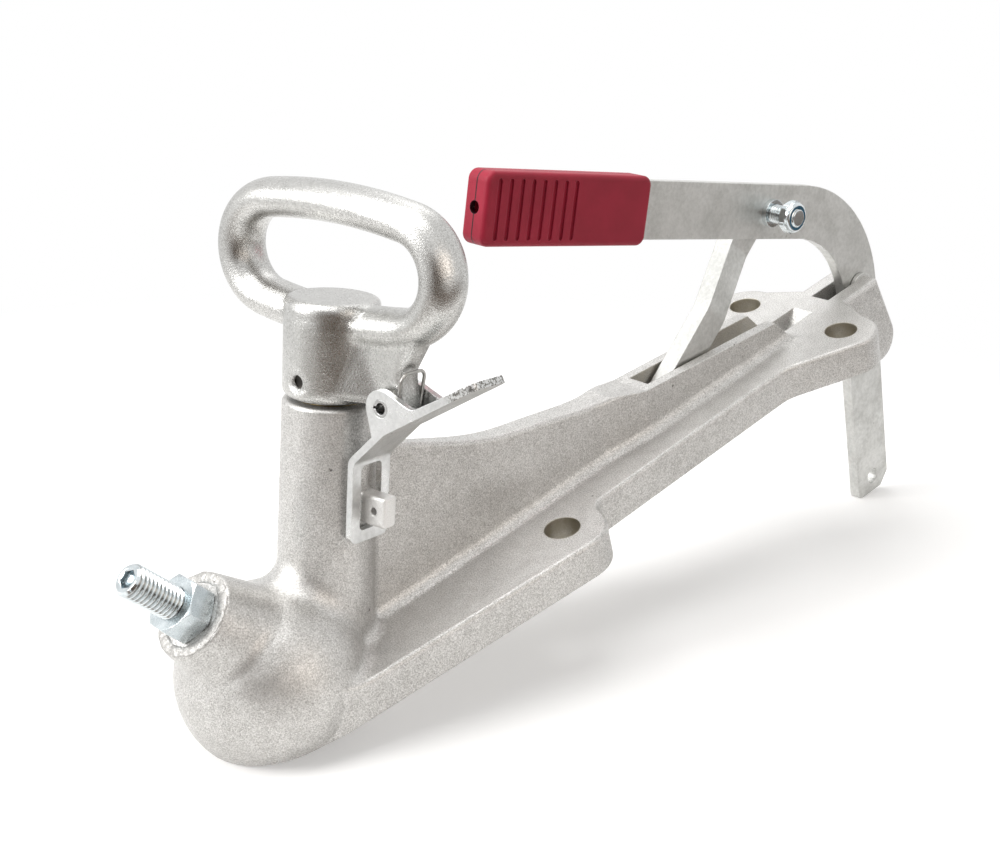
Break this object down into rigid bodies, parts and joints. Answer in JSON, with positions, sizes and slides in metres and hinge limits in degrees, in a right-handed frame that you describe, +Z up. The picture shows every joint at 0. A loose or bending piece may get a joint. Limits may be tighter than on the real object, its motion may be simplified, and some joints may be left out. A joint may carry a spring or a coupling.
{
  "type": "trailer coupling head",
  "caption": "Cast trailer coupling head for a towing ball, with a sprung lift handle, a safety latch, an adjusting screw and a bent brake lever with a plastic grip.",
  "frame": {"origin": "centre of the towing ball in the socket, level with the flange's top face", "axes": "+X back along the casting to its tail, +Y to the side away from the latch, +Z up, square to the flange"},
  "size_m": [0.3935, 0.1212, 0.2731],
  "materials": {
    "cast_zinc": "zinc-plated sand casting, grainy",
    "handle_zinc": "zinc-plated casting, fine grain, bright",
    "plate_zinc": "zinc-plated sheet, satin",
    "bar_zinc": "galvanised bar, blotchy satin",
    "bolt_zinc": "bright zinc plate",
    "steel": "plain machined steel",
    "spring_steel": "drawn wire",
    "brass": "plain turned",
    "grip_red": "moulded crimson plastic, fine matt grain",
    "nylon_blue": "translucent nylon"
  },
  "bodies": {
    "casting": {"coupling_body": "cast_zinc", "guide_bush": "brass", "plunger_spring": "spring_steel", "adjuster_screw": "bolt_zinc", "adjuster_locknut": "bolt_zinc", "ball_shoe": "steel", "pivot_bolt": "bolt_zinc", "pivot_spacer_near": "plate_zinc", "pivot_spacer_far": "plate_zinc"},
    "handle": {"release_handle": "handle_zinc", "plunger": "steel", "handle_cross_pin": "steel", "latch_pin": "steel", "latch_spring": "spring_steel"},
    "latch_plate": {"latch": "plate_zinc"},
    "clamp": {"ball_clamp": "steel"},
    "lever": {"brake_lever": "bar_zinc", "grip_near": "grip_red", "grip_far": "grip_red", "stay_bolt": "bolt_zinc", "stay_bush": "bolt_zinc", "stay_locknut": "bolt_zinc", "locknut_insert": "nylon_blue"},
    "stay": {"stay_strap": "bar_zinc"}
  },
  "joints": [
    {"name": "handle_lift", "type": "slide", "parent": "casting", "child": "handle", "axis": [0.3338, 0, 0.9426], "range_m": [0, 0.0085], "stiffness_N_per_m": 4300, "springref_m": -0.012, "deforming": ["plunger_spring"]},
    {"name": "latch_swing", "type": "hinge", "parent": "handle", "child": "latch_plate", "pos_m": [0.06109, -0.03043, 0.08758], "axis": [-0.9253, -0.1908, 0.3277], "range_deg": [0, 34.2]},
    {"name": "clamp_slide", "type": "slide", "parent": "casting", "child": "clamp", "axis": [1, 0, 0], "range_m": [0, 0.00285]},
    {"name": "lever_swing", "type": "hinge", "parent": "casting", "child": "lever", "pos_m": [0.3395, 0, -0.031], "axis": [0, 1, 0], "range_deg": [0, 45]},
    {"name": "stay_swing", "type": "hinge", "parent": "lever", "child": "stay", "pos_m": [0.2855, 0.0069, 0.0555], "axis": [0, 1, 0], "range_deg": [-54.2, 0]}
  ],
  "couplings": [
    {"joint": "latch_swing", "follows": "handle_lift", "rad_per_m": 70},
    {"joint": "clamp_slide", "follows": "handle_lift", "ratio": 0.33381},
    {"joint": "stay_swing", "follows": "lever_swing", "ratio": -1.2}
  ]
}
